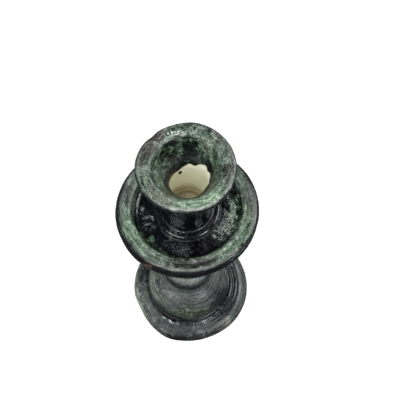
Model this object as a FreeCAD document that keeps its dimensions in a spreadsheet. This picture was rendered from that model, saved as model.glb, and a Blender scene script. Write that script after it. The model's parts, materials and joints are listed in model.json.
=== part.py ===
import FreeCAD, Part

import os

import Sketcher

# A hand-thrown earthenware candlestick, turned in sections and luted together, then dipped
# head down in glaze. Own frame: +Z up, origin at the centre of the standing ring, millimetres.

doc = FreeCAD.newDocument("candlestick")

# ---------------------------------------------------------------- driving dimensions
# Radii and levels are of the bare fired clay. The glaze adds its thickness outside them.
SIZES = {
    "axis": 0.0,
    "ground": 0.0,
    # standing ring and foot roll of the bell-shaped base
    "ring_inner": 36.0,
    "ring_outer": 44.6,
    "foot_spring_radius": 47.0,
    "foot_spring": 2.4,
    "foot_radius": 47.7,
    "foot_level": 6.2,
    "roll_shoulder_radius": 46.5,
    "roll_shoulder": 10.2,
    "roll_top_radius": 42.7,
    "roll_top": 12.4,
    # two turned rings round the bell
    "outer_ring_radius": 40.6,
    "outer_ring_top": 14.9,
    "outer_ring_inner": 38.6,
    "ring_valley": 13.6,
    "inner_ring_radius": 36.1,
    "inner_ring_top": 16.4,
    # bell
    "bell_radius": 32.9,
    "bell_side_radius": 32.1,
    "bell_side": 25.0,
    "bell_shoulder_radius": 29.0,
    "bell_shoulder": 34.4,
    "bell_brow_radius": 23.4,
    "bell_brow": 40.6,
    "bell_top": 44.4,
    "hollow_waist_radius": 29.4,
    "hollow_waist": 8.0,
    "hollow_side_radius": 25.1,
    "hollow_top_radius": 15.5,
    "hollow_top": 37.6,
    # stem
    "collar_foot_radius": 15.9,
    "collar_radius": 17.0,
    "collar_level": 51.5,
    "collar_lip_radius": 15.8,
    "collar_lip": 57.6,
    "collar_sweep_radius": 13.1,
    "collar_sweep": 61.0,
    "stem_foot_radius": 11.9,
    "stem_foot": 64.0,
    "stem_waist_radius": 11.2,
    "stem_waist": 112.0,
    "stem_flare_radius": 11.8,
    "stem_flare": 129.75,
    "stem_top_radius": 13.6,
    # drip pan
    "pan_bottom": 147.5,
    "pan_flat_radius": 21.0,
    "pan_edge_low_radius": 42.6,
    "pan_edge_low": 150.6,
    "pan_radius": 44.4,
    "pan_edge": 154.9,
    "pan_brow_radius": 42.6,
    "pan_brow": 158.1,
    "pan_crest_radius": 41.4,
    "pan_crest": 158.8,
    "pan_dip_radius": 39.8,
    "pan_dip": 158.3,
    "pan_lip_radius": 35.9,
    "pan_lip": 158.5,
    "pan_lip_turn_radius": 34.4,
    "pan_lip_turn": 157.3,
    "well_side_radius": 33.5,
    "well_side": 155.3,
    "well_cove_radius": 32.2,
    "well_cove": 153.6,
    "well_radius": 29.6,
    "well_floor": 152.9,
    # candle cup
    "neck_foot_radius": 15.6,
    "neck_radius": 14.9,
    "neck_bottom": 158.9,
    "neck_top": 176.0,
    "flare_radius": 18.0,
    "flare_level": 189.0,
    "flare_top_radius": 25.4,
    "flare_top": 200.4,
    "cup_under_radius": 27.0,
    "cup_under": 202.3,
    "cup_radius": 27.6,
    "cup_edge": 204.4,
    "rim_brow_radius": 27.1,
    "rim_brow": 205.9,
    "rim_crest_radius": 25.9,
    "rim_crest": 206.4,
    "rim_inner_radius": 20.6,
    "rim_inner": 205.7,
    "cup_lip_radius": 19.6,
    "cup_lip": 205.2,
    "funnel_top_radius": 19.1,
    "funnel_top": 204.2,
    "throat_radius": 12.5,
    "throat": 191.0,
    "throat_turn_radius": 11.85,
    "throat_turn": 188.9,
    "socket_radius": 11.6,
    "socket_mouth": 187.0,
    "socket_floor": 157.0,
    # rolls of clay pressed round the joints: their own thickness and where their middles run
    "coil_radius": 3.0,
    "bell_coil_radius": 16.8,
    "bell_coil_level": 44.1,
    "pan_coil_radius": 14.5,
    "pan_coil_level": 146.7,
    "cup_coil_radius": 17.5,
    "cup_coil_level": 153.3,
    # glaze
    "glaze": 0.6,
    "glaze_foot_line": 3.0,
    "glaze_socket_line": 190.0,
}

FULL_TURN = 360


def make_sheet():
    """The spreadsheet that every sketch below is bound to."""
    sheet = doc.addObject("Spreadsheet::Sheet", "Sizes")
    for row, (alias, value) in enumerate(SIZES.items(), start=1):
        sheet.set(f"A{row}", alias)
        sheet.set(f"B{row}", str(value))
        sheet.setAlias(f"B{row}", alias)
    doc.recompute()


# ---------------------------------------------------------------- sketch helpers
# A sketch names the two ends of a line or an arc, and its own origin, by these numbers.
START, END = 1, 2
ORIGIN = -1


def spot(radius, level):
    """A point of the half section, from two names in the sheet."""
    return FreeCAD.Vector(SIZES[radius], SIZES[level], 0)


def plane_of(body, role):
    """One of a body's own origin planes."""
    for feature in body.Origin.OriginFeatures:
        if feature.Role == role:
            return feature
    raise ValueError(role)


def pin(sketch, geometry, point, corner):
    """Binds one point of a sketch to a radius and a level in the sheet."""
    for kind, name in zip(("DistanceX", "DistanceY"), corner):
        held = Sketcher.Constraint(kind, ORIGIN, START, geometry, point, SIZES[name])
        index = sketch.addConstraint(held)
        sketch.setExpression(f"Constraints[{index}]", f"Sizes.{name}")


def add_line(sketch, tail, head):
    """A straight edge, and which of its points are its tail and its head."""
    edge = sketch.addGeometry(Part.LineSegment(spot(*tail), spot(*head)), False)
    return edge, START, END


def add_arc(sketch, tail, middle, head):
    """The same for an arc, held by a point that it passes through."""
    edge = sketch.addGeometry(Part.Arc(spot(*tail), spot(*middle), spot(*head)), False)
    mark = sketch.addGeometry(Part.Point(spot(*middle)), True)
    sketch.addConstraint(Sketcher.Constraint("PointOnObject", mark, START, edge))
    pin(sketch, mark, START, middle)
    first_half = spot(*middle) - spot(*tail)
    second_half = spot(*head) - spot(*middle)
    if first_half.cross(second_half).z > 0:
        return edge, START, END
    return edge, END, START


def outline(body, name, path):
    """A closed half section on the XZ plane.

    path lists corners as (radius, level), and an arc as its (middle, end) corners.
    """
    sketch = body.newObject("Sketcher::SketchObject", name)
    sketch.AttachmentSupport = [(plane_of(body, "XZ_Plane"), "")]
    sketch.MapMode = "FlatFace"
    edges = []
    corner = path[0]
    for step in path[1:] + path[:1]:
        if isinstance(step[0], tuple):
            middle, end = step
            made = add_arc(sketch, corner, middle, end)
        else:
            end = step
            made = add_line(sketch, corner, end)
        edges.append((*made, end))
        corner = end
    for index, (edge, _, head, end) in enumerate(edges):
        following, tail, _, _ = edges[(index + 1) % len(edges)]
        sketch.addConstraint(Sketcher.Constraint("Coincident", edge, head, following, tail))
        pin(sketch, edge, head, end)
    doc.recompute()
    return sketch


def turned(name, path):
    """A body turned from one half section about its own Z axis."""
    body = doc.addObject("PartDesign::Body", name)
    body.Label = name
    sketch = outline(body, f"{name}_section", path)
    revolution = body.newObject("PartDesign::Revolution", f"{name}_turned")
    revolution.Profile = sketch
    revolution.ReferenceAxis = (sketch, ["V_Axis"])
    revolution.Angle = FULL_TURN
    doc.recompute()
    return body


def hollowed(body, path):
    """Turns a hollow out of a body, and makes sure that it took clay away."""
    before = body.Shape.Volume
    sketch = outline(body, f"{body.Name}_hollow_section", path)
    groove = body.newObject("PartDesign::Groove", f"{body.Name}_hollow")
    groove.Profile = sketch
    groove.ReferenceAxis = (sketch, ["V_Axis"])
    groove.Angle = FULL_TURN
    doc.recompute()
    assert body.Shape.Volume < before, body.Name


# ---------------------------------------------------------------- the thrown sections
def make_base():
    """The bell: foot roll, two turned rings, domed crown, open underneath."""
    body = turned("base_bell", [
        ("axis", "ground"),
        ("ring_outer", "ground"),
        (("foot_spring_radius", "foot_spring"), ("foot_radius", "foot_level")),
        (("roll_shoulder_radius", "roll_shoulder"), ("roll_top_radius", "roll_top")),
        (("outer_ring_radius", "outer_ring_top"), ("outer_ring_inner", "ring_valley")),
        (("inner_ring_radius", "inner_ring_top"), ("bell_radius", "ring_valley")),
        (("bell_side_radius", "bell_side"), ("bell_shoulder_radius", "bell_shoulder")),
        (("bell_brow_radius", "bell_brow"), ("collar_foot_radius", "bell_top")),
        ("axis", "bell_top"),
    ])
    hollowed(body, [
        ("axis", "ground"),
        ("ring_inner", "ground"),
        ("hollow_waist_radius", "hollow_waist"),
        (("hollow_side_radius", "bell_side"), ("hollow_top_radius", "hollow_top")),
        ("axis", "hollow_top"),
    ])
    return body


def make_stem():
    """The solid stem with its swelling collar, which stands on the bell's crown."""
    return turned("stem_column", [
        ("axis", "bell_top"),
        ("collar_foot_radius", "bell_top"),
        (("collar_radius", "collar_level"), ("collar_lip_radius", "collar_lip")),
        (("collar_sweep_radius", "collar_sweep"), ("stem_foot_radius", "stem_foot")),
        ("stem_waist_radius", "stem_waist"),
        (("stem_flare_radius", "stem_flare"), ("stem_top_radius", "pan_bottom")),
        ("axis", "pan_bottom"),
    ])


def make_pan():
    """The drip pan: a thick saucer with a broad rim and a flat well."""
    return turned("drip_pan", [
        ("axis", "pan_bottom"),
        ("pan_flat_radius", "pan_bottom"),
        ("pan_edge_low_radius", "pan_edge_low"),
        (("pan_radius", "pan_edge"), ("pan_brow_radius", "pan_brow")),
        (("pan_crest_radius", "pan_crest"), ("pan_dip_radius", "pan_dip")),
        ("pan_lip_radius", "pan_lip"),
        (("pan_lip_turn_radius", "pan_lip_turn"), ("well_side_radius", "well_side")),
        (("well_cove_radius", "well_cove"), ("well_radius", "well_floor")),
        ("axis", "well_floor"),
    ])


def make_cup():
    """The candle cup: neck, flared funnel with a broad rim, and the blind socket."""
    return turned("candle_cup", [
        ("axis", "well_floor"),
        ("neck_foot_radius", "well_floor"),
        ("neck_radius", "neck_bottom"),
        ("neck_radius", "neck_top"),
        (("flare_radius", "flare_level"), ("flare_top_radius", "flare_top")),
        (("cup_under_radius", "cup_under"), ("cup_radius", "cup_edge")),
        (("rim_brow_radius", "rim_brow"), ("rim_crest_radius", "rim_crest")),
        ("rim_inner_radius", "rim_inner"),
        (("cup_lip_radius", "cup_lip"), ("funnel_top_radius", "funnel_top")),
        ("throat_radius", "throat"),
        (("throat_turn_radius", "throat_turn"), ("socket_radius", "socket_mouth")),
        ("socket_radius", "socket_floor"),
        ("axis", "socket_floor"),
    ])


# ---------------------------------------------------------------- the joints between them
def make_coil(joint, lower, upper):
    """A roll of clay pressed into the corner between two sections."""
    roll = doc.addObject("Part::Torus", f"{joint}_joint_roll")
    roll.setExpression("Radius1", f"Sizes.{joint}_coil_radius")
    roll.setExpression("Radius2", "Sizes.coil_radius")
    roll.setExpression("Placement.Base.z", f"Sizes.{joint}_coil_level")
    over = doc.addObject("Part::Cut", f"{joint}_joint_over")
    over.Base = roll
    over.Tool = lower
    coil = doc.addObject("Part::Cut", f"{joint}_joint_coil")
    coil.Label = coil.Name
    coil.Base = over
    coil.Tool = upper
    doc.recompute()
    return coil


# ---------------------------------------------------------------- the glaze
def patch(low_radius, low_level, high_radius, high_level):
    """A rectangle on the half section."""
    corners = [
        FreeCAD.Vector(low_radius, 0, low_level),
        FreeCAD.Vector(high_radius, 0, low_level),
        FreeCAD.Vector(high_radius, 0, high_level),
        FreeCAD.Vector(low_radius, 0, high_level),
    ]
    return Part.Face(Part.makePolygon(corners + corners[:1]))


def clay_outline(sections, coils):
    """The half section of the whole piece with its hollows filled, as one face."""
    filled = [doc.getObject(f"{body.Name}_turned").Shape for body in sections]
    whole = filled[0].multiFuse(filled[1:] + [coil.Shape for coil in coils])
    section = whole.common(patch(0, 0, 2 * SIZES["foot_radius"], 2 * SIZES["rim_crest"]))
    assert len(section.Faces) == 1
    return section.Faces[0]


def make_glaze(sections, coils):
    """One glassy skin over all the clay, from above the standing ring to inside the socket.

    It is an offset of the finished outline, which no PartDesign or Part object makes, so its
    shape is set from the sheet here.
    """
    thickness = doc.Sizes.glaze
    outline_face = clay_outline(sections, coils)
    grown = outline_face.makeOffset2D(thickness)
    below = -2 * thickness
    reach = doc.Sizes.foot_radius + 2 * thickness
    bare = [
        patch(below, below, reach, doc.Sizes.glaze_foot_line),
        patch(below, below, 0, doc.Sizes.rim_crest),
        patch(0, doc.Sizes.well_floor, doc.Sizes.throat_radius, doc.Sizes.glaze_socket_line),
    ]
    skin = grown.cut([outline_face] + bare)
    glaze = doc.addObject("Part::Feature", "glaze_coat")
    glaze.Label = "glaze_coat"
    glaze.Shape = skin.revolve(FreeCAD.Vector(0, 0, 0), FreeCAD.Vector(0, 0, 1), FULL_TURN)
    glaze.Placement = FreeCAD.Placement()
    return glaze


# ---------------------------------------------------------------- checks and files
def check(pieces):
    """Stops if anything in the document failed or any piece isn't one sound solid."""
    for item in doc.Objects:
        assert not {"Invalid", "Error"} & set(item.State), (item.Name, item.State)
    for piece in pieces:
        shape = piece.Shape
        assert not shape.isNull() and shape.isValid(), piece.Label
        assert len(shape.Solids) == 1, (piece.Label, len(shape.Solids))


def write(pieces):
    """One STEP file for each piece, named after it."""
    os.makedirs("parts", exist_ok=True)
    for piece in pieces:
        piece.Shape.exportStep(f"parts/{piece.Label}.step")
        box = piece.Shape.optimalBoundingBox()
        print(f"{piece.Label:18s} {piece.Shape.Volume / 1000:8.2f} cm3  z {box.ZMin:.1f} to {box.ZMax:.1f}")


make_sheet()
base = make_base()
stem = make_stem()
pan = make_pan()
cup = make_cup()
coils = [
    make_coil("bell", base, stem),
    make_coil("pan", stem, pan),
    make_coil("cup", pan, cup),
]
thrown = [base, stem, pan, cup]
glaze = make_glaze(thrown, coils)
doc.recompute()
pieces = thrown + coils + [glaze]
check(pieces)
write(pieces)
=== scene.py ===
import json
import math
from collections import namedtuple

import bpy
import numpy as np
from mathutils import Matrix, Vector


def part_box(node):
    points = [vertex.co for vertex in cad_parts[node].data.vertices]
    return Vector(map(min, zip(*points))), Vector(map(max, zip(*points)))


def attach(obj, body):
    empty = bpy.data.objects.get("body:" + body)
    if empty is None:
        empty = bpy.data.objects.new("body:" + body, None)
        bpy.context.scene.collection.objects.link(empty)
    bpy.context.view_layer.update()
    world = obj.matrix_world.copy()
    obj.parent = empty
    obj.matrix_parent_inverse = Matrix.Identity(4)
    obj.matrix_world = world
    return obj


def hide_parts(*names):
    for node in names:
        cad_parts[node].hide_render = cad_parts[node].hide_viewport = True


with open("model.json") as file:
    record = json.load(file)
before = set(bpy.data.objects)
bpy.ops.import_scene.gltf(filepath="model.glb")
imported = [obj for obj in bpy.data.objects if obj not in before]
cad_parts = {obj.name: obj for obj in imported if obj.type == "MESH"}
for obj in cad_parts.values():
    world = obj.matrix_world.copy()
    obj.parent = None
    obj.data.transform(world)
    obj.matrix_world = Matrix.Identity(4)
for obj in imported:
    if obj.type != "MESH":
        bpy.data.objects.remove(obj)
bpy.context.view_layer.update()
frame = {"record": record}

# A hand-thrown earthenware candlestick under a glassy green and black glaze. Shapes are worked out
# in millimetres on a half section (radius, level), swept round the axis, and then bent by
# hand_made(), which holds every lean, tilt, bulge and dent, so that the pieces stay nested.
# Angles round the axis are in degrees from +X, so 270 faces the camera. Blender gets metres.
MM = 0.001
TURNS = 190


# ---------------------------------------------------------------- sizes from the frame
class Span:
    """A CAD node's reach from the axis and its lowest and highest level, in millimetres."""

    def __init__(self, node):
        low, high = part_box(node)
        self.radius = max(high.x, high.y, -low.x, -low.y) / MM
        self.low = low.z / MM
        self.high = high.z / MM


base = Span("base_bell")
bell_coil = Span("bell_joint_coil")
stem = Span("stem_column")
pan_coil = Span("pan_joint_coil")
pan = Span("drip_pan")
cup_coil = Span("cup_joint_coil")
cup = Span("candle_cup")
skin = Span("glaze_coat")

mounts = {mount["name"]: mount for mount in frame["record"]["mounts"]}
socket_radius = mounts["candle_socket"]["dims"]["r_mm"]
socket_depth = mounts["candle_socket"]["dims"]["length_mm"]
socket_floor = mounts["candle_socket"]["pos_m"][2] / MM - socket_depth / 2
socket_mouth = socket_floor + socket_depth
glaze = skin.radius - base.radius


# ---------------------------------------------------------------- seeded noise and masks
class Grain:
    """Smooth seeded noise about size millimetres across: a sum of plane waves, mostly within -1 to 1."""

    def __init__(self, seed, size, waves=28):
        rng = np.random.default_rng(seed)
        heading = rng.normal(size=(waves, 3))
        heading /= np.linalg.norm(heading, axis=1)[:, None]
        pitch = size * rng.uniform(0.7, 1.7, waves)
        self.vectors = heading * (2 * math.pi / pitch)[:, None]
        self.phase = rng.uniform(0, 2 * math.pi, waves)
        self.gain = math.sqrt(1.0 / waves)

    def __call__(self, points):
        total = np.zeros(points.shape[:-1])
        for vector, phase in zip(self.vectors, self.phase):
            total += np.sin(points @ vector + phase)
        return total * self.gain


def bump(value, centre, width):
    """A smooth hill of height 1."""
    return np.exp(-((value - centre) / width) ** 2)


def turn_bump(turn, centre, width):
    """The same round the axis, in degrees."""
    gap = (turn - centre + 180) % 360 - 180
    return np.exp(-(gap / width) ** 2)


def ease(value, low, high):
    """A smooth step from 0 at low to 1 at high."""
    share = np.clip((value - low) / (high - low), 0, 1)
    return share * share * (3 - 2 * share)


def band(value, low, full, fade, high):
    """Rises from 0 at low to 1 at full, and falls from 1 at fade to 0 at high."""
    return ease(value, low, full) * (1 - ease(value, fade, high))


# A patch of colour. turn, radius and level say where it lies, and round and along say how far it
# reaches round the axis and along the section, in millimetres. The rest is what it adds: glaze
# thickness (lighter where thin; some patches below also use it to paint highlights, reflections or
# shade, as their comments say), green (copper colour), warm (brown), bare (red clay showing through)
# and frost (fine pale specks in the glaze).
Patch = namedtuple("Patch", "turn radius level round along depth green warm bare frost",
                   defaults=(0.0, 0.0))

PATCHES = [
    # cup rim
    Patch(150, 24, 206, 15, 4.2, 0.12, -0.45, 0.45),
    Patch(80, 24, 206, 14, 4.5, 0.20, 0.25, 0.08),
    Patch(60, 25, 206, 8, 3.0, 0.02, -0.20, 0.10),
    # painted highlight: a pale cream line along the front crest of the rim
    Patch(268, 26.4, 206.9, 18, 0.9, -0.16, -0.20, 0.35),
    Patch(125, 26, 206, 8, 2.0, 0.12, -0.40, 0.40),
    Patch(288, 23, 206, 16, 4.0, -0.16, 0.42, -0.20),
    Patch(90, 22.5, 206, 11, 3.0, 0.04, 0.25, 0.00),
    Patch(192, 24, 206, 9, 3.6, 0.02, 0.10, 0.12),
    Patch(230, 23, 206, 11, 3.6, -0.02, -0.02, 0.52),
    Patch(345, 24, 206, 10, 3.6, 0.16, -0.35, 0.50),
    Patch(30, 26, 206, 14, 2.4, 0.06, -0.40, 0.25),
    Patch(48, 21, 206, 5, 2.0, -0.04, 0.10, 0.30),
    # funnel
    Patch(24, 14.3, 195.0, 4.5, 2.4, 0.45, 0.00, 0.00),
    Patch(80, 14.0, 195, 5.5, 3.8, 0.45, 0.00, 0.00),
    Patch(80, 17.2, 200.5, 5, 2.8, 0.46, 0.00, 0.00),
    Patch(102, 15.6, 197.6, 3.0, 2.2, -0.14, 0.20, 0.00),
    Patch(122, 14.4, 196, 3.6, 3.2, 0.35, 0.00, 0.00),
    Patch(112, 18.6, 203.2, 2.6, 1.6, 0.42, 0.00, 0.00),
    Patch(84, 19.4, 204.4, 6, 0.7, 0.40, 0.00, 0.00),
    Patch(20, 13.2, 193.4, 5, 3.0, 0.40, -0.20, 0.00),
    Patch(138, 16.8, 200.4, 5, 3.4, 0.32, 0.00, 0.00),
    Patch(118, 19.0, 204, 4, 1.4, 0.30, 0.00, 0.00),
    Patch(347, 16.5, 199.5, 3, 5.5, 0.35, 0.00, 0.00),
    Patch(190, 16.2, 199, 7, 6.0, -0.20, 0.10, 0.25),
    Patch(48, 17.5, 202, 6, 4.0, -0.20, 0.10, 0.38),
    # thick brown glaze on the throat's left edge, darkened further with painted shade where the edge is
    # shadowed
    Patch(200, 12.4, 192, 6, 1.4, 0.40, -0.40, 0.20),
    # painted highlight: a pale glint on the throat's right edge
    Patch(351, 12.6, 192.2, 0.9, 2.2, -0.90, -0.20, 0.00),
    Patch(106, 16.4, 199.0, 4, 2.6, 0.16, 0.10, 0.00),
    Patch(54, 16.9, 200.0, 4, 3.0, 0.14, 0.10, 0.00),
    # rim of the pan
    Patch(325, 39.5, 158.6, 15, 4.5, 0.05, 0.40, 0.00),
    Patch(202, 39.5, 158.6, 10, 4.5, -0.11, 0.25, 0.00),
    Patch(272, 38.5, 158.6, 18, 4.0, 0.24, -0.25, 0.65),
    Patch(165, 40, 158.6, 12, 5.0, 0.08, -0.30, 0.10),
    # painted highlight: a pale cream line along the front crest of the pan's rim
    Patch(268, 42.3, 158.7, 26, 0.9, -0.34, -0.25, 0.45),
    Patch(262, 36.6, 158.6, 16, 0.8, 0.30, -0.10, 0.10),
    Patch(5, 40.5, 158.6, 12, 4.0, 0.03, -0.25, 0.30),
    Patch(322, 45.3, 158.0, 26, 1.8, -0.30, 0.15, 0.00),
    # well
    Patch(222, 29, 153.8, 4.2, 2.6, -0.44, 1.10, 0.00),
    Patch(212, 33, 156, 5, 2.6, -0.30, 0.80, 0.00),
    Patch(238, 32.5, 155.5, 8, 2.4, -0.14, 0.60, 0.00),
    # the well's right: real pale specks in the glaze, on a lighter ground that is partly painted
    # reflection
    Patch(340, 27.5, 153.5, 11, 6.5, -0.22, 0.25, 0.00, 0.0, 1.2),
    Patch(345, 28.5, 153.5, 4, 2.6, -0.22, 0.10, 0.00, 0.0, 0.4),
    Patch(320, 27.5, 153.5, 9, 5.0, -0.12, 0.15, 0.00, 0.0, 0.9),
    Patch(255, 26, 153.5, 14, 4.5, -0.02, 0.05, 0.00, 0.0, 0.5),
    Patch(190, 26, 153.5, 10, 5.0, 0.00, 0.05, 0.00, 0.0, 0.5),
    # partly painted reflection: lighter ground on the well's right, as above
    Patch(2, 31.5, 155, 6, 3.0, -0.25, 0.60, 0.00),
    Patch(10, 28.0, 153.8, 7, 4.0, -0.12, 0.30, 0.00, 0.0, 0.8),
    # painted reflection: a lighter streak down the left of the neck
    Patch(238, 15.5, 163, 5.0, 10, -0.34, 0.10, 0.00),
    # painted reflection: a lighter grey-blue patch on the front of the well floor
    Patch(256, 26, 153.5, 8, 3.0, -0.12, -0.10, 0.00),
    Patch(246, 22, 153.7, 5, 1.2, -0.20, -0.10, 0.00),
    Patch(290, 28.5, 153.8, 8, 5.5, 0.72, -0.30, 0.00),
    # painted highlights: pale glints on the left of the well floor, with pale specks in them
    Patch(174, 28.0, 153.5, 2.0, 1.0, -0.44, -0.10, 0.00, 0.0, 0.6),
    Patch(188, 25.3, 153.5, 1.4, 2.4, -0.46, -0.10, 0.00, 0.0, 0.6),
    Patch(199, 25.8, 153.5, 1.0, 2.8, -0.50, -0.10, 0.00, 0.0, 0.5),
    Patch(192, 22.6, 153.6, 1.8, 1.0, -0.44, -0.10, 0.00, 0.0, 0.6),
    # painted highlights: small pale glints on the well floor and at the foot of its wall, one drawn out
    # into a short streak
    Patch(290, 26.0, 153.5, 0.7, 0.7, -0.60, -0.10, 0.00),
    Patch(309, 24.3, 153.5, 0.8, 1.8, -0.50, -0.10, 0.00),
    Patch(259, 31.8, 154.4, 0.7, 0.7, -0.80, -0.10, 0.00),
    Patch(268, 31.4, 154.2, 0.9, 0.6, -0.60, -0.10, 0.00),
    Patch(172, 31, 154.5, 3.4, 1.6, -0.26, -0.10, 0.00),
    Patch(206, 23.5, 153.6, 3.0, 1.6, -0.26, -0.10, 0.00),
    # a glaze run down the neck, painted as a pale streak that also stands in for the highlight on its
    # ridge
    Patch(289, 15.2, 165, 0.5, 7, -0.60, -0.10, 0.00),
    Patch(310, 15.2, 165, 4, 9, 0.10, -0.05, 0.00),
    Patch(172, 33.6, 157, 9, 1.0, -0.25, -0.10, 0.00),
    Patch(235, 45.3, 156.3, 3.4, 2.2, -0.30, 0.00, 0.30, 1.0),
    # base
    Patch(195, 26, 40, 6, 0.8, 0.16, 0.00, 0.00),
    Patch(318, 26, 42, 14, 7.0, 0.08, -0.05, 0.00),
    Patch(196, 30, 34, 14, 9.0, -0.14, 0.10, 0.00),
    Patch(274, 47, 9, 24, 5.0, 0.31, -0.05, 0.10),
    Patch(262, 44.5, 13, 24, 2.6, 0.04, 0.15, 0.00),
    Patch(185, 46, 10, 24, 5.5, -0.26, 0.10, 0.10),
    Patch(270, 31.8, 28, 11, 7.0, 0.04, 0.90, 0.55),
    Patch(291, 32.8, 24, 9, 6.0, 0.08, 0.55, 0.60),
    Patch(322, 31.5, 28, 12, 9.0, 0.26, -0.10, 0.00),
    Patch(238, 33.3, 19, 14, 4.0, 0.22, -0.10, 0.00),
    Patch(256, 46.5, 10.5, 6, 3.5, 0.30, -0.10, 0.55),
    Patch(234, 46.5, 10.5, 9, 4.0, 0.12, 0.00, 0.00),
    Patch(311, 46, 11.5, 5.5, 3.6, -0.26, -0.10, 0.90),
    Patch(248, 47.8, 8.5, 9, 3.6, 0.30, -0.10, 0.25),
    Patch(200, 39, 15, 24, 5.0, -0.25, 0.00, 0.00),
    Patch(330, 38.5, 15.5, 22, 2.2, -0.07, -0.10, 0.00),
]


def add_patches(points, fields):
    """Adds what every patch holds to the fields of the same name, with ragged edges."""
    radius = np.hypot(points[..., 0], points[..., 1])
    turn = np.degrees(np.arctan2(points[..., 1], points[..., 0]))
    ragged = 0.28 * Grain(40, 4.0)(points) + 0.14 * Grain(41, 1.8)(points)
    for patch in PATCHES:
        gap = (turn - patch.turn + 180) % 360 - 180
        sideways = np.radians(gap) * patch.radius / patch.round
        down = np.hypot(radius - patch.radius, points[..., 2] - patch.level) / patch.along
        reach = np.hypot(sideways, down) + ragged
        share = 1 - ease(reach, 0.45, 1.25)
        for key in ("depth", "green", "warm", "bare", "frost"):
            fields[key] += getattr(patch, key) * share


# ---------------------------------------------------------------- outlines
def smooth_run(points, spacing):
    """Centripetal Catmull-Rom curve through points (any columns), one sample about every spacing."""
    knots = np.asarray(points, float)
    knots = np.vstack([2 * knots[0] - knots[1], knots, 2 * knots[-1] - knots[-2]])
    rows = []
    for index in range(1, len(knots) - 2):
        p0, p1, p2, p3 = knots[index - 1:index + 3]
        gaps = [max(np.linalg.norm((b - a)[:2]), 1e-6) ** 0.5 for a, b in ((p0, p1), (p1, p2), (p2, p3))]
        t1 = gaps[0]
        t2 = t1 + gaps[1]
        t3 = t2 + gaps[2]
        steps = max(1, round(np.linalg.norm((p2 - p1)[:2]) / spacing))
        for step in range(steps):
            t = t1 + (t2 - t1) * step / steps
            a1 = (t1 - t) / t1 * p0 + t / t1 * p1
            a2 = (t2 - t) / (t2 - t1) * p1 + (t - t1) / (t2 - t1) * p2
            a3 = (t3 - t) / (t3 - t2) * p2 + (t - t2) / (t3 - t2) * p3
            b1 = (t2 - t) / t2 * a1 + t / t2 * a2
            b2 = (t3 - t) / (t3 - t1) * a2 + (t - t1) / (t3 - t1) * a3
            rows.append((t2 - t) / (t2 - t1) * b1 + (t - t1) / (t2 - t1) * b2)
    rows.append(knots[-2])
    return np.array(rows)


def outward(rows):
    """Unit normals of an outline, to the right of its run, which is away from the clay."""
    run = np.gradient(rows[:, :2], axis=0)
    run /= np.maximum(np.linalg.norm(run, axis=1), 1e-9)[:, None]
    return np.stack([run[:, 1], -run[:, 0]], axis=1)


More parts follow.
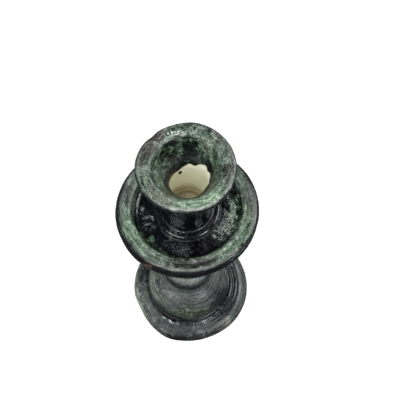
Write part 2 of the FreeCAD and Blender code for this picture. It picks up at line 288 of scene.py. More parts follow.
def skin_parts():
    """The glazed surface from the foot's glaze line to the socket's, as named stretches.

    Each point is (radius, level, glaze depth, green): glaze depth is how thickly the glaze lies, 0
    thin to 1 pooled, and green is how strong its copper colour is. Round the collar it also paints
    shade at the collar's foot and a highlight on its sloping top.
    """
    foot = base.radius + glaze
    edge = pan.radius + glaze
    rim = cup.radius + glaze
    crown = base.high
    under = pan.low - glaze
    well = cup.low + glaze
    brim = cup.high + glaze
    return {
        "foot": (0.6, [
            (foot - 0.7, skin.low, 0.45, 0.10),
            (foot, base.low + 6.4, 0.58, 0.12),
            (foot - 1.0, base.low + 9.9, 0.52, 0.15),
            (foot - 3.1, base.low + 12.3, 0.56, 0.12),
            (foot - 5.4, base.low + 13.0, 0.70, 0.05),
        ]),
        "rings": (0.45, [
            (foot - 6.2, base.low + 13.8, 0.74, 0.05),
            (foot - 7.4, base.low + 15.1, 0.72, 0.05),
            (foot - 8.8, base.low + 15.2, 0.74, 0.05),
            (foot - 9.8, base.low + 14.8, 0.78, 0.05),
            (foot - 10.8, base.low + 15.7, 0.74, 0.05),
            (foot - 12.1, base.low + 16.7, 0.72, 0.05),
            (foot - 13.6, base.low + 16.4, 0.70, 0.05),
            (foot - 14.7, base.low + 15.2, 0.84, 0.05),
        ]),
        "bell": (0.8, [
            (foot - 14.9, base.low + 17.6, 0.66, 0.10),
            (foot - 15.5, base.low + 24.0, 0.60, 0.30),
            (foot - 16.7, base.low + 30.3, 0.52, 0.25),
            (foot - 19.2, base.low + 35.8, 0.50, 0.12),
            (foot - 22.4, crown - 4.6, 0.51, 0.10),
            (foot - 24.0, crown - 3.7, 0.52, 0.10),
            (foot - 25.6, crown - 2.8, 0.49, 0.10),
            (foot - 27.6, crown - 1.6, 0.48, 0.10),
        ]),
        # painted shade: the top of this coil and the collar's foot are dark, where shade falls under the
        # collar; painted highlight: the collar's sloping top is pale
        "bell_coil": (0.5, [
            (bell_coil.radius - 0.5, crown - 0.2, 0.48, 0.10),
            (bell_coil.radius - 1.6, crown + 1.6, 0.52, 0.10),
            (stem.radius + 0.1, crown + 2.4, 0.84, 0.10),
        ]),
        "collar": (0.6, [
            (stem.radius + 0.4, crown + 4.6, 0.84, 0.10),
            (stem.radius + 0.7, crown + 8.4, 0.76, 0.10),
            (stem.radius + 0.3, crown + 11.8, 0.52, 0.05),
            (stem.radius - 1.0, crown + 14.2, 0.24, 0.05),
            (stem.radius - 2.9, crown + 16.6, 0.22, 0.10),
            (stem.radius - 4.2, crown + 19.6, 0.42, 0.20),
        ]),
        "stem": (2.2, [
            (stem.radius - 4.8, crown + 24, 0.50, 0.25),
            (stem.radius - 5.2, crown + 45, 0.55, 0.35),
            (stem.radius - 5.2, crown + 68, 0.55, 0.35),
            (stem.radius - 4.5, stem.high - 16, 0.55, 0.35),
            (stem.radius - 3.3, stem.high - 6.5, 0.60, 0.30),
        ]),
        "pan_coil": (0.7, [
            (pan_coil.radius - 2.9, pan_coil.low - 0.2, 0.70, 0.30),
            (pan_coil.radius - 0.6, pan_coil.low + 0.4, 0.60, 0.30),
            (pan_coil.radius + 0.4, pan_coil.low + 2.0, 0.70, 0.30),
            (pan_coil.radius + 1.2, under - 0.1, 0.85, 0.30),
        ]),
        "pan": (1.0, [
            (pan_coil.radius + 4.5, under + 0.1, 0.65, 0.40),
            (edge - 14.0, under + 1.4, 0.55, 0.45),
            (edge - 5.5, under + 2.6, 0.60, 0.35),
        ]),
        "pan_rim": (0.45, [
            (edge - 2.0, under + 3.6, 0.84, 0.10),
            (edge - 0.35, under + 5.6, 0.92, 0.05),
            (edge, under + 8.1, 0.94, 0.05),
            (edge - 0.7, under + 10.4, 0.97, 0.10),
            (edge - 2.0, under + 11.9, 0.85, 0.25),
            (edge - 3.6, pan.high + glaze, 0.40, 0.40),
            (edge - 5.0, pan.high + 0.3, 0.42, 0.52),
            (edge - 6.8, pan.high - 0.1, 0.45, 0.52),
            (edge - 8.6, pan.high + 0.1, 0.42, 0.55),
            (edge - 9.8, pan.high + 0.1, 0.50, 0.55),
            (edge - 10.9, pan.high - 0.7, 0.70, 0.60),
        ]),
        "well": (0.8, [
            (edge - 11.6, pan.high - 2.4, 0.84, 0.50),
            (edge - 12.9, well + 1.1, 0.92, 0.30),
            (edge - 15.2, well + 0.2, 0.95, 0.10),
            (edge - 19.0, well, 0.93, 0.00),
            (cup_coil.radius + 1.0, well + 0.1, 0.97, 0.00),
        ]),
        "cup_coil": (0.4, [
            (cup_coil.radius + 0.4, well + 0.3, 0.94, 0.05),
            (cup_coil.radius + 0.2, well + 1.2, 0.84, 0.05),
            (cup_coil.radius - 0.5, well + 2.1, 0.80, 0.10),
            (cup_coil.radius - 1.8, well + 2.4, 0.90, 0.10),
            (cup_coil.radius - 3.8, well + 2.7, 0.96, 0.10),
            (cup_coil.radius - 4.5, well + 3.3, 0.96, 0.05),
        ]),
        "neck": (0.9, [
            (cup_coil.radius - 4.9, cup.low + 6.0, 0.95, 0.10),
            (cup_coil.radius - 5.5, cup.low + 11.5, 0.98, 0.10),
            (cup_coil.radius - 5.5, cup.low + 18.0, 0.98, 0.10),
            (cup_coil.radius - 5.2, cup.low + 23.5, 0.92, 0.10),
            (cup_coil.radius - 4.1, cup.low + 30.0, 0.90, 0.10),
            (rim - 8.9, cup.low + 37.0, 0.90, 0.10),
            (rim - 5.4, brim - 10.8, 0.88, 0.10),
            (rim - 2.4, brim - 6.8, 0.88, 0.10),
            (rim - 0.7, brim - 4.4, 0.94, 0.10),
        ]),
        "cup_rim": (0.4, [
            (rim - 0.05, brim - 2.6, 0.92, 0.10),
            (rim - 0.25, brim - 1.1, 0.80, 0.15),
            (rim - 1.3, brim - 0.1, 0.36, 0.30),
            (rim - 2.9, brim - 0.15, 0.39, 0.42),
            (rim - 5.2, brim - 0.6, 0.41, 0.47),
            (rim - 7.2, brim - 1.1, 0.44, 0.50),
            (rim - 8.6, brim - 1.9, 0.50, 0.60),
            (rim - 9.4, brim - 3.2, 0.62, 0.70),
        ]),
        "funnel": (0.5, [
            (rim - 10.4, brim - 5.2, 0.52, 0.80),
            (rim - 12.2, brim - 8.8, 0.58, 0.85),
            (rim - 14.2, brim - 12.4, 0.68, 0.75),
            (socket_radius + 0.5, brim - 14.8, 0.86, 0.60),
            (socket_radius - 0.4, socket_mouth + 3.4, 1.00, 0.30),
            (socket_radius - 0.8, socket_mouth + 1.6, 1.00, 0.20),
            (socket_radius - 0.9, socket_mouth - 0.6, 1.00, 0.20),
            (socket_radius - 0.8, socket_mouth - 3.0, 1.00, 0.20),
        ]),
    }


def join_parts(parts):
    """One outline from the stretches, and where each stretch starts and stops in it."""
    rows = []
    reach = {}
    count = 0
    for name, (spacing, points) in parts.items():
        run = smooth_run(points, spacing)
        if rows:
            gap = np.linalg.norm(run[0, :2] - rows[-1][-1, :2])
            steps = max(1, round(gap / spacing))
            share = np.arange(1, steps)[:, None] / steps
            seam = rows[-1][-1] * (1 - share) + run[0] * share
            run = np.vstack([seam, run])
        reach[name] = (count, count + len(run))
        count += len(run)
        rows.append(run)
    joined = np.vstack(rows)
    for _ in range(2):
        joined[1:-1] = (joined[:-2] + 2 * joined[1:-1] + joined[2:]) / 4
    return joined, reach


outline, reach = join_parts(skin_parts())
normal = outward(outline)
along = np.concatenate([[0], np.cumsum(np.linalg.norm(np.diff(outline[:, :2], axis=0), axis=1))])

# glaze thickness along the outline: it thins out towards both of its ends
foot_end = 0.45 + 0.55 * ease(along, 0, 2)
socket_end = 0.4 + 0.6 * (1 - ease(along, along[-1] - 8, along[-1] - 1))
thickness = glaze * foot_end * socket_end
clay_line = outline[:, :2] - normal * thickness[:, None]


# ---------------------------------------------------------------- the maker's hand
# (level, amount) stops: how far the axis has strayed sideways, in millimetres, and how much a level
# tips, as a slope. The pan has a slope of its own.
LEAN_X = ((0, 0.0), (6, 0.2), (14, -2.0), (45, -2.3), (58, -1.6), (140, -0.5),
          (158, -0.4), (176, 0.3), (190, 0.9), (203, 0.2), (210, 0.1))
LEAN_Y = ((0, 0.0), (14, -0.2), (45, -0.5), (100, 0.4), (150, 0.0), (210, 0.0))
TILT_X = ((0, 0.0), (3, -0.035), (12, -0.05), (20, -0.02), (60, 0.0), (145, -0.01),
          (160, -0.02), (180, 0.0), (203, 0.017), (210, 0.017))
PAN_TILT = 0.047


def by_level(level, stops):
    """A value that runs through (level, value) stops."""
    levels, values = zip(*stops)
    return np.interp(level, levels, values)


def hand_made(points):
    """Bends true turned shapes the way this piece came off the wheel: leans, tilts, bulges and a dent."""
    x, y, z = points[..., 0], points[..., 1], points[..., 2]
    radius = np.hypot(x, y)
    turn = np.degrees(np.arctan2(y, x))
    in_pan = bump(z, (pan.low + pan.high) / 2, 9)
    in_foot = 1 - ease(z, 13, 20)
    off_floor = ease(z, 0.3, 5)

    swell = 1.9 * turn_bump(turn, 243, 15) - 0.6 * turn_bump(turn, 205, 11)
    swell += -0.5 * turn_bump(turn, 293, 15) + 0.3 * turn_bump(turn, 336, 16)
    grow = swell * in_foot * ease(radius, 30, 46)
    in_cup = ease(z, 196, 203) * ease(radius, 15, 25)
    grow += in_cup * (0.9 * turn_bump(turn, 72, 26) - 0.9 * turn_bump(turn, 132, 6.5))
    grow += 0.25 * np.sin(np.radians(2 * turn + 40 + z)) * ease(radius, 8, 14)
    grow += 0.12 * np.sin(np.radians(3 * turn - 2.1 * z)) * ease(radius, 8, 14)
    scale = 1 + grow / np.maximum(radius, 1)

    lean_x = by_level(z, LEAN_X)
    lean_y = by_level(z, LEAN_Y)
    tilt_x = by_level(z, TILT_X) * (1 - in_pan) + PAN_TILT * in_pan
    sag = in_pan * (0.012 * y + 0.25 * np.sin(np.radians(2 * turn + 20)) * ease(radius, 14, 30))

    out = np.empty_like(points)
    out[..., 0] = x * scale + lean_x * off_floor
    out[..., 1] = y * scale + lean_y * off_floor
    out[..., 2] = z + (tilt_x * x + sag) * off_floor
    return out


# ---------------------------------------------------------------- meshes
angle = np.arange(TURNS) * 2 * math.pi / TURNS
spoke = np.stack([np.cos(angle), np.sin(angle)], axis=-1)
turn_of = np.degrees(angle)


def sweep(radius, level):
    """Rows of (radius, level), each a scalar per row or a value per row and turn, as xyz points."""
    radius = np.broadcast_to(np.reshape(radius, (len(radius), -1)), (len(radius), TURNS))
    level = np.broadcast_to(np.reshape(level, (len(level), -1)), (len(level), TURNS))
    return np.stack([radius * spoke[:, 0], radius * spoke[:, 1], level], axis=-1)


def add_mesh(name, vertices, faces, attributes):
    """A smooth mesh from vertices in millimetres, with one float attribute per entry."""
    mesh = bpy.data.meshes.new(name)
    mesh.from_pydata((vertices * MM).tolist(), [], faces)
    mesh.polygons.foreach_set("use_smooth", [True] * len(mesh.polygons))
    for key, values in attributes.items():
        layer = mesh.attributes.new(key, "FLOAT", "POINT")
        layer.data.foreach_set("value", values.astype(np.float32))
    mesh.update()
    piece = bpy.data.objects.new(name, mesh)
    bpy.context.scene.collection.objects.link(piece)
    return piece


def build(name, points, fields):
    """A mesh from (row, turn, xyz) points in millimetres, with one float attribute per field.

    A first or last row of zero radius becomes one point. With neither, the ends are joined.
    """
    rows = len(points)
    is_pole = [np.hypot(points[row, :, 0], points[row, :, 1]).max() < 1e-6 for row in (0, rows - 1)]
    bent = hand_made(points)
    start = 1 if is_pole[0] else 0
    stop = rows - 1 if is_pole[1] else rows
    vertices = bent[start:stop].reshape(-1, 3)
    index = np.arange((stop - start) * TURNS).reshape(-1, TURNS)
    beside = np.roll(index, -1, axis=1)
    faces = np.stack([index[:-1], beside[:-1], beside[1:], index[1:]], axis=-1).reshape(-1, 4).tolist()
    if not any(is_pole):
        faces += np.stack([index[-1], beside[-1], beside[0], index[0]], axis=-1).tolist()
    picks = np.arange(start, stop).repeat(TURNS)
    if is_pole[0]:
        tip = len(vertices)
        vertices = np.vstack([vertices, bent[0].mean(axis=0)])
        faces += [(tip, b, a) for a, b in zip(index[0].tolist(), beside[0].tolist())]
    if is_pole[1]:
        tip = len(vertices)
        vertices = np.vstack([vertices, bent[-1].mean(axis=0)])
        faces += [(tip, a, b) for a, b in zip(index[-1].tolist(), beside[-1].tolist())]
    attributes = {}
    for key, grid in fields.items():
        attributes[key] = np.zeros(len(vertices))
        attributes[key][:len(picks)] = grid[start:stop].reshape(-1)
        attributes[key][len(picks):] = attributes[key][len(picks) - 1]
    return add_mesh(name, vertices, faces, attributes)


# ---------------------------------------------------------------- the glaze skin
# beads of glaze on the inner turned ring, as (turn, size); each catches the light
BEADS = ((235, 0.6), (246, 1.0), (257, 0.7), (265, 0.4), (274, 0.7), (288, 1.0), (303, 0.7), (312, 0.6))
BEAD_WIDTH = 3.5
BEAD_RADIUS = 36.9

# the soft slope that the thrower's sponge left across the front of the turned rings
SPONGED_TURN = 243
SPONGED_RADII = (34.8, 36.2, 38.5, 41.0, 43.0, 45.3)
SPONGED_LEVELS = (16.4, 16.7, 15.7, 14.6, 13.5, 12.3)

# levels where things start or stop: the top of the turned rings, the pan's upper side, the inside
# of its well and the socket's throat
RINGS_END = (20, 22)
PAN_TOP = (157, 158)
WELL = (152, 153, 157, 158.5)
THROAT = (186, 187, 197, 200)

# runs of glaze down the socket's wall, as (turn, width, drop)
RUNS = ((65, 10, 2.4), (93, 7, 0.6), (117, 12, 2.1), (172, 11, 1.2),
        (214, 13, 1.6), (262, 12, 1.3), (318, 13, 1.9), (20, 6, 0.5))

# the hidden inner face has one row for this many of the outer face
INNER_STEP = 4


def glaze_line(turn):
    """Level of the glaze's ragged lower edge inside the socket, lowest on the left."""
    line = socket_mouth + 1.3 + 5.2 * np.cos(np.radians(turn - 15))
    for middle, width, drop in RUNS:
        line = line - drop * turn_bump(turn, middle, width)
    return line + 0.25 * np.sin(np.radians(13 * turn))


def make_glaze():
    """The glaze as one closed skin, with a float attribute for each of the shader's masks."""
    # each turn's rows run along the outline between its own two ragged ends
    foot_cut = 0.8 + 0.7 * Grain(6, 12)(sweep(outline[:1, 0], outline[:1, 1]))[0]
    line = np.clip(glaze_line(turn_of), outline[-1, 1] + 0.2, socket_mouth + 8.5)
    tail = outline[reach["funnel"][0]:]
    line_at = np.interp(-line, -tail[:, 1], along[reach["funnel"][0]:])
    place = along[:, None] + foot_cut * (1 - ease(along, 0, 5))[:, None]
    place = place - (along[-1] - line_at) * ease(along, along[-1] - 14, along[-1])[:, None]

    def follow(column):
        return np.interp(place, along, column)

    radius, level = follow(outline[:, 0]), follow(outline[:, 1])
    across, up = follow(normal[:, 0]), follow(normal[:, 1])
    grid = sweep(radius, level)
    turn = np.degrees(np.arctan2(grid[..., 1], grid[..., 0]))
    zone = {name: band(place, along[a] - 1, along[a] + 2, along[b - 1] - 2, along[b - 1] + 1)
            for name, (a, b) in reach.items()}

    broad = Grain(3, 26)(grid)
    patchy = Grain(4, 9)(grid)
    lumps = Grain(5, 3.4)(grid)
    spiral = np.radians(turn_of)

    def rings(pitch, wander):
        """Throwing rings that climb in a spiral."""
        return np.sin(2 * math.pi * place / pitch + spiral + wander * broad)

    # where single marks lie
    in_base = 1 - ease(level, *RINGS_END)
    in_well = band(level, *WELL)
    beads = np.zeros_like(turn)
    for middle, size in BEADS:
        beads += size * turn_bump(turn, middle, BEAD_WIDTH)
    beads *= bump(radius, BEAD_RADIUS, 1.3) * in_base
    sponged = (1 - ease(np.abs((turn - SPONGED_TURN + 180) % 360 - 180), 42, 66)) * in_base
    wet = turn_bump(turn, 112, 16) * bump(radius, 23.0, 1.6) * ease(level, 200, 204)
    crown_marks = turn_bump(turn, 305, 48) * band(radius, 17, 19, 27, 30) * (1 - ease(level, 46, 48))
    cove_marks = turn_bump(turn, 232, 45) * bump(radius, 33.8, 2.4) * ease(level, 152, 154)
    coil_creases = bump(radius, cup_coil.radius + 0.7, 0.7) + bump(radius, cup_coil.radius - 4.3, 1.1)

    # colour
    depth, green = follow(outline[:, 2]), follow(outline[:, 3])
    fields = {"depth": depth, "green": green, "warm": np.zeros_like(place),
              "bare": np.zeros_like(place), "frost": np.zeros_like(place)}
    add_patches(grid, fields)
    depth += 0.13 * zone["stem"] * Grain(11, 3.4)(grid * np.array([1, 1, 0.12]))
    green += 0.16 * zone["stem"] * Grain(12, 7)(grid * np.array([1, 1, 0.3]))
    pooled = ease(depth, 0.5, 0.85)
    depth += 0.15 * beads
    depth += 0.26 * crown_marks * ease(-rings(2.5, 0.6), 0.2, 0.9)
    depth -= 0.22 * cove_marks * ease(rings(1.3, 0.4), 0.1, 0.8)
    depth -= 0.08 * sponged * ease(radius, 37, 38.5)
    green += 0.4 * cove_marks

    # dullness: 0 is as glossy as the colour allows
    dull = 1 - ease(level, stem.low + 20, stem.high)
    dull *= 1 - zone["rings"] * turn_bump(turn, 338, 34)
    dull += 0.9 * zone["bell"] - 2.2 * beads
    dull += 3 * in_well * coil_creases
    dull += 1.6 * zone["pan_rim"] * ease(radius, 34.5, 36) * ease(level, *PAN_TOP)
    dull += 2.3 * band(level, *THROAT) * (1 - ease(radius, 15, 17.5))
    dull += 1.6 * bump(radius, cup.radius - 8, 1.8) * ease(level, 199, 203) - 3.0 * wet
    dull += 1.9 * sponged * ease(radius, 32, 33) * (1 - np.clip(beads, 0, 1))
    fields["dull"] = dull

    # relief, in millimetres: soft lumps, throwing rings and fine turning lines on the pan's rim
    relief = 0.13 * broad + 0.05 * patchy + (0.012 + 0.018 * pooled) * lumps
    relief += 0.12 * wet * Grain(9, 2.2)(grid)
    relief += zone["bell"] * 0.09 * rings(3.4, 1.2)
    relief += 0.20 * crown_marks * rings(2.5, 0.6)
    relief += zone["funnel"] * 0.10 * ease(level, 192, 199) * rings(2.6, 1.3)
    relief += zone["neck"] * 0.05 * rings(3.1, 1.3)
    relief += zone["stem"] * 0.14 * rings(6.5, 1.3)
    relief += zone["pan_rim"] * ease(level, *PAN_TOP) * 0.035 * (1 + patchy) * rings(1.25, 1.5)
    relief += zone["rings"] * (0.25 * broad + 0.03 * lumps)
    slope = np.interp(radius, SPONGED_RADII, SPONGED_LEVELS)
    on_slope = band(radius, 35, 36, 44, 45.2) * ease(level, 8, 10)
    relief += sponged * on_slope * (slope - level) * up
    relief += zone["cup_coil"] * 0.08 * patchy
    relief += 0.12 * beads
    relief = np.maximum(relief, -0.55 * follow(thickness))
    outer = sweep(radius + across * relief, level + up * relief)

    # the hidden inner face closes the skin near the clay's surface, at nine tenths of its thickness
    inner_rows = np.unique(np.append(np.arange(0, len(outline), INNER_STEP), len(outline) - 1))[::-1]
    depth_in = 0.9 * follow(thickness) - relief
    inner = sweep(radius - across * depth_in, level - up * depth_in)[inner_rows]
    whole = {key: np.concatenate([field, field[inner_rows]]) for key, field in fields.items()}
    return build("glaze_skin", np.concatenate([outer, inner]), whole)


def make_drop():
    """A drop of glaze that splashed on the bare wall of the socket, its back sunk in the clay."""
    middle_turn, middle_level = 111, socket_mouth - 4.8
    half_width, half_height, thick, sunk = 1.4, 1.8, 0.8, 0.3
    wall = socket_radius - 0.6
    sides, steps = 24, 6
    around = np.arange(sides) * 2 * math.pi / sides
    vertices = []
    for step in range(steps + 1):
        share = step / steps
        lift = -sunk + (thick + sunk) * math.sqrt(1 - share ** 2)
        turn = np.radians(middle_turn) + half_width * share * np.cos(around) / socket_radius
        level = middle_level + half_height * share * np.sin(around)
        radius = wall - lift
        vertices.append(np.stack([radius * np.cos(turn), radius * np.sin(turn), level], axis=-1))
    vertices = hand_made(np.concatenate(vertices))
    faces = []
    for step in range(steps):
        for side in range(sides):
            near, far = step * sides + side, step * sides + (side + 1) % sides
            faces.append((near, far, far + sides, near + sides))
    faces.append(tuple(range(steps * sides, (steps + 1) * sides)))
    colour = {"depth": 0.70, "green": 0.3, "warm": 1.0}
    return add_mesh("glaze_drop", vertices, faces,
                    {key: np.full(len(vertices), value) for key, value in colour.items()})


# ---------------------------------------------------------------- the clay under it
def clay_run(first, last):
    """The clay's surface under the stretches from first to last."""
    return clay_line[reach[first][0]:reach[last][1]]


def turned_clay(name, rows, warm=None, rings=0.0):
    """A turned clay piece from (radius, level) rows.

    warm is each row's painted shade, which darkens the clay. rings is how high the throwing rings
    stand inside the socket; the rings also paint their crests lighter and their hollows darker.
    """
    rows = np.asarray(rows, float)
    points = sweep(rows[:, 0], rows[:, 1])
    shade = np.zeros(points.shape[:2])
    if warm is not None:
        shade += warm[:, None]
    if rings:
        face = outward(rows)
        pitch = 2.7
        climb = 2 * math.pi * points[..., 2] / pitch
        wave = rings * np.sin(climb + np.radians(turn_of) + Grain(8, 20)(points))
        wave *= band(rows[:, 0], 1, 6, socket_radius, socket_radius + 0.4)[:, None]
        points = sweep(rows[:, :1] + face[:, :1] * wave, rows[:, 1:2] + face[:, 1:] * wave)
        # painted light and shade: each ring's crest is painted lighter and its hollow darker
        shade -= 1.3 * wave
    return build(name, points, {"warm": shade})


def make_clay():
    """The seven clay pieces, in the order of nodes below. Each outside is the glaze's inner face."""
    hollow = smooth_run([
        (0.0, base.high - 6.8), (9.0, base.high - 7.6), (15.5, base.high - 10), (20.5, base.high - 16),
        (25.0, 20.0), (29.0, 9.5), (33.5, 3.0), (36.5, 0.0)], 0.8)
    hollow[0, 0] = 0.0
    ring = smooth_run([(37.5, 0.0), (44.2, 0.0), (45.4, 0.4), (base.radius - 1.2, 1.7)], 0.6)
    for rows in (hollow, ring):
        rows[:, 1] = np.maximum(rows[:, 1], 0)
    outside = clay_run("foot", "bell")
    bell = turned_clay("bell_clay", np.vstack([hollow, ring, outside, [(0.0, outside[-1, 1])]]))

    collar = clay_run("collar", "stem")
    foot_level, top_level = base.high + 0.1, pan.low - 0.1
    stem_clay = turned_clay("stem_clay", np.vstack([
        [(0.0, foot_level)], [(collar[0, 0] - 0.2, foot_level)], collar,
        [(collar[-1, 0], top_level)], [(0.0, top_level)]]))

    body = clay_run("pan", "well")
    pan_clay = turned_clay("pan_clay", np.vstack([[(0.0, pan.low)], body, [(0.0, body[-1, 1])]]))

    neck = clay_run("neck", "funnel")
    wall = smooth_run([
        (neck[-1, 0], neck[-1, 1] - 0.4), (socket_radius, socket_floor + 18),
        (socket_radius, socket_floor + 9), (socket_radius - 0.3, socket_floor + 3.2),
        (socket_radius - 2.0, socket_floor + 0.8), (socket_radius - 5.0, socket_floor + 0.1),
        (2.5, socket_floor), (0.0, socket_floor)], 0.4)
    wall[-1, 0] = 0.0
    rows = np.vstack([[(0.0, cup.low + 0.1)], [(neck[0, 0], cup.low + 0.1)], neck, wall])
    # painted shade: the socket's bare clay is painted darker towards its floor, deep in the bore
    painted_socket_shade = 1.15 * (1 - ease(rows[:, 1], socket_floor - 2, socket_floor + 14))
    painted_socket_shade[rows[:, 0] > socket_radius + 1] = 0
    cup_clay = turned_clay("cup_clay", rows, painted_socket_shade, rings=0.09)

    coils = []
    for name, part, corner in (("bell_coil_clay", "bell_coil", (collar[0, 0], base.high)),
                               ("pan_coil_clay", "pan_coil", (collar[-1, 0], pan.low)),
                               ("cup_coil_clay", "cup_coil", (neck[0, 0], cup.low))):
        coils.append(turned_clay(name, np.vstack([clay_run(part, part), [corner]])))
    return bell, stem_clay, pan_clay, cup_clay, *coils


# ---------------------------------------------------------------- materials
def linear(*colour):
    """An sRGB colour, 0 to 255, as Blender's linear values."""
    shares = [value / 255 for value in colour]
    return tuple(((share + 0.055) / 1.055) ** 2.4 if share > 0.04045 else share / 12.92
                 for share in shares) + (1.0,)


class Graph:
    """A material's node tree, with one method for each kind of node that is used."""

    def __init__(self, name):
        self.material = bpy.data.materials.new(name)
        self.material.use_nodes = True
        self.tree = self.material.node_tree
        self.tree.nodes.clear()

    def node(self, kind, **settings):
        made = self.tree.nodes.new("ShaderNode" + kind)
        for key, value in settings.items():
            setattr(made, key, value)
        return made

    def plug(self, value, socket):
        if isinstance(value, bpy.types.NodeSocket):
            self.tree.links.new(value, socket)
        else:
            socket.default_value = value

    def attribute(self, name):
        return self.node("Attribute", attribute_name=name).outputs["Fac"]

    def place(self):
        return self.node("TexCoord").outputs["Object"]

    def noise(self, size_mm, where=None, detail=2.0, roughness=0.55, distortion=0.0, fourth=None):
        """Noise about size_mm across, spread to roughly -1 to 1. fourth is a fourth coordinate."""
        made = self.node("TexNoise")
        if fourth is not None:
            made.noise_dimensions = "4D"
            self.plug(fourth, made.inputs["W"])
        self.plug(self.place() if where is None else where, made.inputs["Vector"])
        made.inputs["Scale"].default_value = 1 / (size_mm * MM)
        made.inputs["Detail"].default_value = detail
        made.inputs["Roughness"].default_value = roughness
        made.inputs["Distortion"].default_value = distortion
        return self.fit(made.outputs["Fac"], 0.3, 0.7, -1, 1)

    def fit(self, value, low, high, to_low, to_high):
        made = self.node("MapRange")
        for socket, number in zip(made.inputs[:5], (value, low, high, to_low, to_high)):
            self.plug(number, socket)
        return made.outputs["Result"]

    def math(self, operation, a, b=0.0, clamp=False):
        made = self.node("Math", operation=operation, use_clamp=clamp)
        self.plug(a, made.inputs[0])
        self.plug(b, made.inputs[1])
        return made.outputs[0]

    def total(self, *terms):
        """Sum of value * weight pairs."""
        result = None
        for value, weight in terms:
            term = self.math("MULTIPLY", value, weight)
            result = term if result is None else self.math("ADD", result, term)
        return result

    def ramp(self, value, stops):
        made = self.node("ValToRGB")
        self.plug(value, made.inputs[0])
        elements = made.color_ramp.elements
        while len(elements) < len(stops):
            elements.new(0.5)
        for element, (position, colour) in zip(elements, stops):
            element.position = position
            element.color = linear(*colour)
        return made.outputs["Color"]

    def mix(self, share, a, b):
        """Colour a at share 0, colour b at share 1. A Mix node's colour sockets are 6, 7 and 2."""
        made = self.node("Mix", data_type="RGBA")
        self.plug(share, made.inputs[0])
        self.plug(a, made.inputs[6])
        self.plug(b, made.inputs[7])
        return made.outputs[2]

    def bump(self, height, depth_mm):
        made = self.node("Bump")
        self.plug(height, made.inputs["Height"])
        made.inputs["Distance"].default_value = depth_mm * MM
        return made.outputs["Normal"]

    def finish(self, colour, roughness, bumps, **settings):
        shader = self.node("BsdfPrincipled")
        self.plug(colour, shader.inputs["Base Color"])
        self.plug(roughness, shader.inputs["Roughness"])
        self.plug(bumps, shader.inputs["Normal"])
        for key, value in settings.items():
            shader.inputs[key.replace("_", " ")].default_value = value
        out = self.node("OutputMaterial")
        self.tree.links.new(shader.outputs[0], out.inputs[0])
        return self.material


# runs are noise on a cylinder of RUN_RADIUS, drawn out in height by 1 / RUN_SQUEEZE; turning marks
# change round the axis as noise does round a circle of MARK_RADIUS
RUN_RADIUS = 22 * MM
RUN_SQUEEZE = 0.16
MARK_RADIUS = 6 * MM
GLAZE_SPECULAR = 0.35


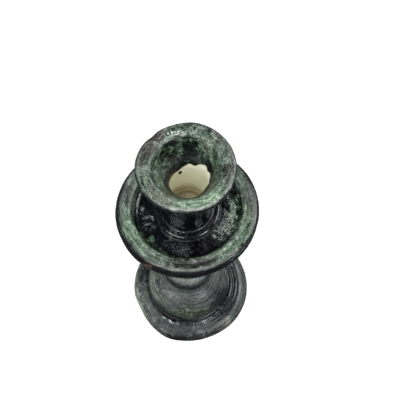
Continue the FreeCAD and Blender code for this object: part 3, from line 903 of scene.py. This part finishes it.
def glaze_material():
    graph = Graph("green_black_glaze")
    depth, green, warm, bare, dull, frost = (
        graph.attribute(name) for name in ("depth", "green", "warm", "bare", "dull", "frost"))
    grit = graph.noise(1.0, detail=3.0, roughness=0.6)
    pits = graph.fit(graph.noise(0.9, detail=1.0), 0.15, 0.75, 0.0, 1.0)
    mottle = graph.noise(2.6, detail=2.0, distortion=0.4)
    cloud = graph.noise(9.0, detail=2.0, distortion=0.8)

    # runs: noise stretched down the surface
    split = graph.node("SeparateXYZ")
    graph.plug(graph.place(), split.inputs[0])
    flat = graph.node("CombineXYZ")
    graph.plug(split.outputs[0], flat.inputs[0])
    graph.plug(split.outputs[1], flat.inputs[1])
    ray = graph.node("VectorMath", operation="NORMALIZE")
    graph.plug(flat.outputs[0], ray.inputs[0])
    spread = graph.node("VectorMath", operation="SCALE")
    graph.plug(ray.outputs[0], spread.inputs[0])
    spread.inputs["Scale"].default_value = RUN_RADIUS
    lift = graph.node("CombineXYZ")
    graph.plug(graph.math("MULTIPLY", split.outputs[2], RUN_SQUEEZE), lift.inputs[2])
    run_place = graph.node("VectorMath", operation="ADD")
    graph.plug(spread.outputs[0], run_place.inputs[0])
    graph.plug(lift.outputs[0], run_place.inputs[1])
    runs = graph.noise(2.4, run_place.outputs[0], detail=2.0)

    # turning marks: noise stretched round the axis
    way = graph.node("SeparateXYZ")
    graph.plug(ray.outputs[0], way.inputs[0])
    size = graph.node("VectorMath", operation="LENGTH")
    graph.plug(flat.outputs[0], size.inputs[0])
    section = graph.node("CombineXYZ")
    graph.plug(size.outputs["Value"], section.inputs[0])
    graph.plug(split.outputs[2], section.inputs[1])
    graph.plug(graph.math("MULTIPLY", way.outputs[0], MARK_RADIUS), section.inputs[2])
    fourth = graph.math("MULTIPLY", way.outputs[1], MARK_RADIUS)
    marks = graph.noise(1.2, section.outputs[0], detail=2.0, fourth=fourth)

    contrast = graph.fit(green, 0.1, 0.5, 0.62, 1.0)
    flecks = graph.fit(graph.noise(1.6, detail=2.0), 0.30, 1.0, 0.0, 1.0)
    texture = graph.total((grit, 0.15), (pits, 0.17), (flecks, -0.28), (mottle, 0.09), (cloud, 0.06),
                          (runs, 0.05), (marks, 0.24))
    pale_specks = graph.fit(graph.noise(0.8, detail=2.0, roughness=0.7), 0.0, 0.9, 0.0, -0.9)
    frosting = graph.math("MULTIPLY", frost, pale_specks)
    # tone follows the glaze's depth, which in some patches and round the collar paints highlights,
    # reflections and shade
    tone = graph.math("ADD", depth, graph.total((texture, contrast), (frosting, 1.0)), clamp=True)

    copper = graph.ramp(tone, [(0.00, (178, 204, 178)), (0.20, (142, 166, 143)), (0.40, (98, 121, 100)),
                               (0.60, (60, 80, 62)), (0.80, (22, 38, 28)), (1.00, (5, 10, 8))])
    slate = graph.ramp(tone, [(0.00, (170, 174, 168)), (0.20, (128, 134, 130)), (0.40, (92, 98, 95)),
                              (0.60, (56, 62, 64)), (0.80, (24, 28, 33)), (1.00, (5, 5, 9))])
    brown = graph.ramp(tone, [(0.00, (190, 186, 160)), (0.20, (140, 136, 118)), (0.40, (100, 96, 86)),
                              (0.60, (66, 60, 54)), (0.80, (30, 26, 24)), (1.00, (8, 6, 6))])
    green_share = graph.fit(graph.total((green, 1.0), (cloud, 0.22), (mottle, 0.10)), 0.0, 0.8, 0.0, 1.0)
    warm_share = graph.fit(graph.total((warm, 1.0), (cloud, 0.18)), 0.1, 0.9, 0.0, 0.9)
    colour = graph.mix(warm_share, graph.mix(green_share, slate, copper), brown)
    red = graph.ramp(tone, [(0.00, (150, 96, 80)), (0.60, (112, 66, 56)), (1.00, (60, 34, 30))])
    bare_share = graph.fit(graph.total((bare, 1.0), (mottle, 0.15)), 0.35, 0.75, 0.0, 1.0)
    colour = graph.mix(bare_share, colour, red)

    patchy_dull = graph.math("MULTIPLY", dull, graph.fit(cloud, -0.6, 0.6, 0.04, 0.20))
    roughness = graph.total((graph.fit(tone, 0.25, 0.8, 0.52, 0.08), 1.0), (mottle, 0.05),
                            (bare_share, 0.3), (patchy_dull, 1.0))
    height = graph.total((grit, 0.18), (mottle, 0.55), (cloud, 1.0), (marks, 0.12))
    return graph.finish(colour, roughness, graph.bump(height, 0.05), Specular_IOR_Level=GLAZE_SPECULAR)


def clay_material():
    graph = Graph("cream_bisque")
    # warm carries painted shade: darkest at the socket's floor, and lighter and darker across the
    # socket's throwing rings
    warm = graph.attribute("warm")
    grain = graph.noise(0.7, detail=3.0)
    stain = graph.noise(5.0, detail=2.0, distortion=0.6)
    tone = graph.total((warm, 0.9), (stain, 0.07), (grain, 0.03))
    # the two darker stops are reached only by the painted shade deep in the socket
    colour = graph.ramp(tone, [(0.00, (247, 246, 220)), (0.30, (233, 229, 197)), (0.65, (190, 181, 146)),
                               (1.00, (130, 118, 90))])
    roughness = graph.fit(stain, -1, 1, 0.62, 0.82)
    height = graph.total((grain, 0.6), (stain, 1.0))
    return graph.finish(colour, roughness, graph.bump(height, 0.05))


# ---------------------------------------------------------------- camera, light and floor
# the camera's place in metres, its downward and sideways turn, and its sensor and lens in millimetres
CAMERA_PITCH = math.radians(62.64)
CAMERA_YAW = math.radians(2.97)
CAMERA_PLACE = Vector((0, -0.1508, 0.4574))
SENSOR_WIDTH = 36
LENS = 48.6

# name, place, aim and size in metres, power in watts, and what it acts on
MIDDLE = (0, 0, 0.1)
LIGHTS = (
    ("front_softbox", (-0.1, -0.75, 1.55), MIDDLE, (2.2, 1.3), 25.5, "diffuse"),
    ("front_glow", (-0.1, -0.75, 1.55), MIDDLE, (2.2, 1.3), 13, "gloss"),
    ("ceiling_panel", (-0.05, 0.05, 1.6), MIDDLE, (1.2, 1.0), 11, "diffuse"),
    ("ceiling_lamp", (0.1, 0.05, 1.6), MIDDLE, (0.3, 0.2), 7, "gloss"),
    ("right_window", (0.98, 0.30, 0.85), (0.03, 0, 0.02), (0.8, 0.7), 16, "gloss"),
    ("front_left_lamp", (-0.78, -0.78, 1.20), MIDDLE, (0.6, 0.25), 16, "gloss"),
    ("front_right_lamp", (0.74, -0.84, 1.22), MIDDLE, (0.55, 0.25), 16, "gloss"),
)

# the room's grey from straight down (0) to straight up (1)
ROOM_GREYS = ((0.0, 0.12), (0.45, 0.20), (0.52, 0.60), (0.62, 0.45), (0.78, 0.12), (1.0, 0.06))
ROOM_STRENGTH = 0.8
FLOOR_SIDE = 3.0
FLOOR_GLOW = 0.27


def make_camera():
    data = bpy.data.cameras.new("camera")
    data.sensor_width = SENSOR_WIDTH
    data.lens = LENS
    camera = bpy.data.objects.new("camera", data)
    camera.location = CAMERA_PLACE
    camera.rotation_euler = (math.pi / 2 - CAMERA_PITCH, 0, -CAMERA_YAW)
    bpy.context.scene.collection.objects.link(camera)
    bpy.context.scene.camera = camera


def make_light(name, place, aim, size, power, acts_on):
    data = bpy.data.lights.new(name, "AREA")
    data.shape = "RECTANGLE"
    data.size, data.size_y = size
    data.energy = power
    light = bpy.data.objects.new(name, data)
    light.location = place
    light.rotation_euler = (Vector(place) - Vector(aim)).to_track_quat("Z", "Y").to_euler()
    light.visible_camera = False
    light.visible_diffuse = acts_on == "diffuse"
    light.visible_glossy = acts_on == "gloss"
    bpy.context.scene.collection.objects.link(light)


def make_world():
    """A pale room that darkens overhead, so that a level glossy surface mirrors something dark."""
    world = bpy.data.worlds.new("studio")
    world.use_nodes = True
    tree = world.node_tree
    background = tree.nodes["Background"]
    place = tree.nodes.new("ShaderNodeTexCoord")
    split = tree.nodes.new("ShaderNodeSeparateXYZ")
    ramp = tree.nodes.new("ShaderNodeValToRGB")
    height = tree.nodes.new("ShaderNodeMapRange")
    height.inputs["From Min"].default_value = -1
    tree.links.new(place.outputs["Generated"], split.inputs[0])
    tree.links.new(split.outputs[2], height.inputs["Value"])
    tree.links.new(height.outputs[0], ramp.inputs[0])
    elements = ramp.color_ramp.elements
    while len(elements) < len(ROOM_GREYS):
        elements.new(0.5)
    for element, (position, value) in zip(elements, ROOM_GREYS):
        element.position = position
        element.color = (value, value, value, 1)
    tree.links.new(ramp.outputs[0], background.inputs[0])
    background.inputs["Strength"].default_value = ROOM_STRENGTH
    bpy.context.scene.world = world


def make_stage():
    mesh = bpy.data.meshes.new("floor")
    corners = [(x * FLOOR_SIDE, y * FLOOR_SIDE, 0) for x, y in ((-1, -1), (1, -1), (1, 1), (-1, 1))]
    mesh.from_pydata(corners, [], [(0, 1, 2, 3)])
    floor = bpy.data.objects.new("floor", mesh)
    bpy.context.scene.collection.objects.link(floor)
    graph = Graph("pale_floor")
    speck = graph.noise(30, detail=1.0)
    colour = graph.ramp(speck, [(0.0, (246, 246, 246)), (1.0, (250, 250, 250))])
    mesh.materials.append(graph.finish(colour, 0.8, graph.bump(speck, 0.02),
                                       Emission_Color=(1, 1, 1, 1), Emission_Strength=FLOOR_GLOW))
    floor.visible_glossy = False
    make_world()
    for light in LIGHTS:
        make_light(*light)
    bpy.context.scene.view_settings.view_transform = "Standard"


make_camera()
make_stage()

green_black = glaze_material()
skin_piece = make_glaze()
for piece in (skin_piece, make_drop()):
    piece.data.materials.append(green_black)
    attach(piece, "root")
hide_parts("glaze_coat")

bisque = clay_material()
nodes = ("base_bell", "stem_column", "drip_pan", "candle_cup",
         "bell_joint_coil", "pan_joint_coil", "cup_joint_coil")
for piece, node in zip(make_clay(), nodes):
    piece.data.materials.append(bisque)
    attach(piece, "root")
    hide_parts(node)
